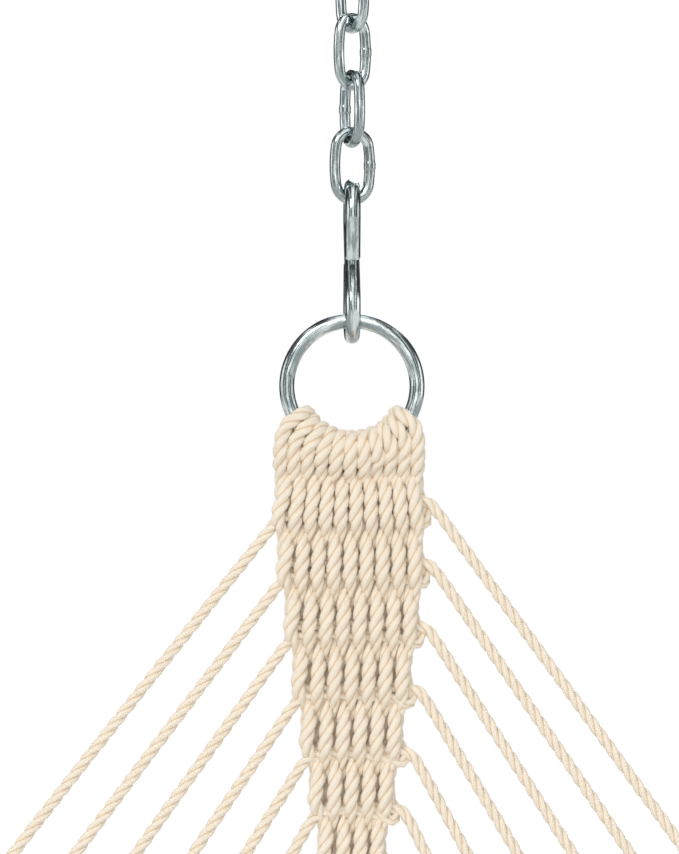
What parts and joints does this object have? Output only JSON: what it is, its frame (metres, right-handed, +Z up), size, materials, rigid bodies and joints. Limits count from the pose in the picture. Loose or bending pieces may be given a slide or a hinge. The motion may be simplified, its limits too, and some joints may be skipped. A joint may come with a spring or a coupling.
{
  "type": "rope hammock",
  "caption": "Netted rope hammock with wooden spreader bars, woven rope clews on steel rings, and S-hooks with hanging chains, hung up by one end.",
  "frame": {"origin": "the inside of the upper ring at its top, where the S-hook that carries the hammock bears on it", "axes": "+X across the hammock along the spreader bars, +Z up along its length towards the end that it hangs from, +Y through its thickness"},
  "size_m": [1.219, 0.038, 4.2868],
  "materials": {
    "zinc_steel": "bright zinc plate, slightly mottled",
    "cotton_rope": "natural three-strand cotton",
    "hardwood": "oiled hardwood"
  },
  "bodies": {
    "upper_link_1": {"upper_link_1": "zinc_steel"},
    "upper_link_2": {"upper_link_2": "zinc_steel"},
    "upper_link_3": {"upper_link_3": "zinc_steel"},
    "upper_link_4": {"upper_link_4": "zinc_steel"},
    "upper_link_5": {"upper_link_5": "zinc_steel"},
    "upper_link_6": {"upper_link_6": "zinc_steel"},
    "upper_link_7": {"upper_link_7": "zinc_steel"},
    "upper_s_hook": {"upper_s_hook": "zinc_steel"},
    "upper_harness": {"upper_ring": "zinc_steel", "upper_harness_loop_01": "cotton_rope", "upper_harness_loop_02": "cotton_rope", "upper_harness_loop_03": "cotton_rope", "upper_harness_loop_04": "cotton_rope", "upper_harness_loop_05": "cotton_rope", "upper_harness_loop_06": "cotton_rope", "upper_harness_loop_07": "cotton_rope", "upper_harness_loop_08": "cotton_rope", "upper_harness_loop_09": "cotton_rope", "upper_harness_loop_10": "cotton_rope", "upper_harness_loop_11": "cotton_rope", "upper_spreader_bar": "hardwood", "upper_knots": "cotton_rope"},
    "bed_panel_1": {"bed_course_01": "cotton_rope", "bed_course_02": "cotton_rope", "bed_course_03": "cotton_rope"},
    "bed_panel_2": {"bed_course_04": "cotton_rope", "bed_course_05": "cotton_rope", "bed_course_06": "cotton_rope"},
    "bed_panel_3": {"bed_course_07": "cotton_rope", "bed_course_08": "cotton_rope", "bed_course_09": "cotton_rope"},
    "bed_panel_4": {"bed_course_10": "cotton_rope", "bed_course_11": "cotton_rope", "bed_course_12": "cotton_rope"},
    "bed_panel_5": {"bed_course_13": "cotton_rope", "bed_course_14": "cotton_rope", "bed_course_15": "cotton_rope"},
    "lower_harness": {"lower_knots": "cotton_rope", "lower_spreader_bar": "hardwood", "lower_harness_loop_01": "cotton_rope", "lower_harness_loop_02": "cotton_rope", "lower_harness_loop_03": "cotton_rope", "lower_harness_loop_04": "cotton_rope", "lower_harness_loop_05": "cotton_rope", "lower_harness_loop_06": "cotton_rope", "lower_harness_loop_07": "cotton_rope", "lower_harness_loop_08": "cotton_rope", "lower_harness_loop_09": "cotton_rope", "lower_harness_loop_10": "cotton_rope", "lower_harness_loop_11": "cotton_rope", "lower_ring": "zinc_steel"},
    "lower_s_hook": {"lower_s_hook": "zinc_steel"},
    "lower_link_1": {"lower_link_1": "zinc_steel"},
    "lower_link_2": {"lower_link_2": "zinc_steel"},
    "lower_link_3": {"lower_link_3": "zinc_steel"},
    "lower_link_4": {"lower_link_4": "zinc_steel"},
    "lower_link_5": {"lower_link_5": "zinc_steel"},
    "lower_link_6": {"lower_link_6": "zinc_steel"},
    "lower_link_7": {"lower_link_7": "zinc_steel"}
  },
  "joints": [
    {"name": "upper_s_hook_swing", "type": "hinge", "parent": "upper_harness", "child": "upper_s_hook", "pos_m": [0, 0, -0.0041], "axis": [-0.0349, 0.9994, 0], "range_deg": [-45, 45]},
    {"name": "upper_link_7_swing", "type": "hinge", "parent": "upper_s_hook", "child": "upper_link_7", "pos_m": [0, 0, 0.0674], "axis": [0.9659, 0.2588, 0], "range_deg": [-60, 60]},
    {"name": "upper_link_6_swing", "type": "hinge", "parent": "upper_link_7", "child": "upper_link_6", "pos_m": [0, 0, 0.0973], "axis": [-0.4067, 0.9135, 0], "range_deg": [-60, 60]},
    {"name": "upper_link_5_swing", "type": "hinge", "parent": "upper_link_6", "child": "upper_link_5", "pos_m": [0, 0, 0.1272], "axis": [-0.7431, -0.6691, 0], "range_deg": [-60, 60]},
    {"name": "upper_link_4_swing", "type": "hinge", "parent": "upper_link_5", "child": "upper_link_4", "pos_m": [0, 0, 0.1571], "axis": [0.6428, -0.766, 0], "range_deg": [-60, 60]},
    {"name": "upper_link_3_swing", "type": "hinge", "parent": "upper_link_4", "child": "upper_link_3", "pos_m": [0, 0, 0.187], "axis": [0.8829, 0.4695, 0], "range_deg": [-60, 60]},
    {"name": "upper_link_2_swing", "type": "hinge", "parent": "upper_link_3", "child": "upper_link_2", "pos_m": [0, 0, 0.2169], "axis": [-0.2419, 0.9703, 0], "range_deg": [-60, 60]},
    {"name": "upper_link_1_swing", "type": "hinge", "parent": "upper_link_2", "child": "upper_link_1", "pos_m": [0, 0, 0.2468], "axis": [-1, 0, 0], "range_deg": [-60, 60]},
    {"name": "bed_head_fold", "type": "hinge", "parent": "upper_harness", "child": "bed_panel_1", "pos_m": [0, 0, -0.8992], "axis": [1, 0, 0], "range_deg": [-120, 120]},
    {"name": "bed_fold_1", "type": "hinge", "parent": "bed_panel_1", "child": "bed_panel_2", "pos_m": [0, 0, -1.27692], "axis": [-1, 0, 0], "range_deg": [-135, 135]},
    {"name": "bed_fold_2", "type": "hinge", "parent": "bed_panel_2", "child": "bed_panel_3", "pos_m": [0, 0, -1.66199], "axis": [1, 0, 0], "range_deg": [-135, 135]},
    {"name": "bed_fold_3", "type": "hinge", "parent": "bed_panel_3", "child": "bed_panel_4", "pos_m": [0, 0, -2.04706], "axis": [-1, 0, 0], "range_deg": [-135, 135]},
    {"name": "bed_fold_4", "type": "hinge", "parent": "bed_panel_4", "child": "bed_panel_5", "pos_m": [0, 0, -2.43213], "axis": [1, 0, 0], "range_deg": [-135, 135]},
    {"name": "bed_foot_fold", "type": "hinge", "parent": "bed_panel_5", "child": "lower_harness", "pos_m": [0, 0, -2.8172], "axis": [-1, 0, 0], "range_deg": [-120, 120]},
    {"name": "lower_s_hook_swing", "type": "hinge", "parent": "lower_harness", "child": "lower_s_hook", "pos_m": [0, 0, -3.72035], "axis": [1, 0, 0], "range_deg": [-60, 60]},
    {"name": "lower_link_1_swing", "type": "hinge", "parent": "lower_s_hook", "child": "lower_link_1", "pos_m": [0, 0, -3.7907], "axis": [-0.0349, 0.9994, 0], "range_deg": [-60, 60]},
    {"name": "lower_link_2_swing", "type": "hinge", "parent": "lower_link_1", "child": "lower_link_2", "pos_m": [0, 0, -3.8194], "axis": [-0.9659, -0.2588, 0], "range_deg": [-60, 60]},
    {"name": "lower_link_3_swing", "type": "hinge", "parent": "lower_link_2", "child": "lower_link_3", "pos_m": [0, 0, -3.8493], "axis": [-0.4067, 0.9135, 0], "range_deg": [-60, 60]},
    {"name": "lower_link_4_swing", "type": "hinge", "parent": "lower_link_3", "child": "lower_link_4", "pos_m": [0, 0, -3.8792], "axis": [0.7431, 0.6691, 0], "range_deg": [-60, 60]},
    {"name": "lower_link_5_swing", "type": "hinge", "parent": "lower_link_4", "child": "lower_link_5", "pos_m": [0, 0, -3.9091], "axis": [0.6428, -0.766, 0], "range_deg": [-60, 60]},
    {"name": "lower_link_6_swing", "type": "hinge", "parent": "lower_link_5", "child": "lower_link_6", "pos_m": [0, 0, -3.939], "axis": [-0.8829, -0.4695, 0], "range_deg": [-60, 60]},
    {"name": "lower_link_7_swing", "type": "hinge", "parent": "lower_link_6", "child": "lower_link_7", "pos_m": [0, 0, -3.9689], "axis": [-0.2419, 0.9703, 0], "range_deg": [-60, 60]}
  ]
}
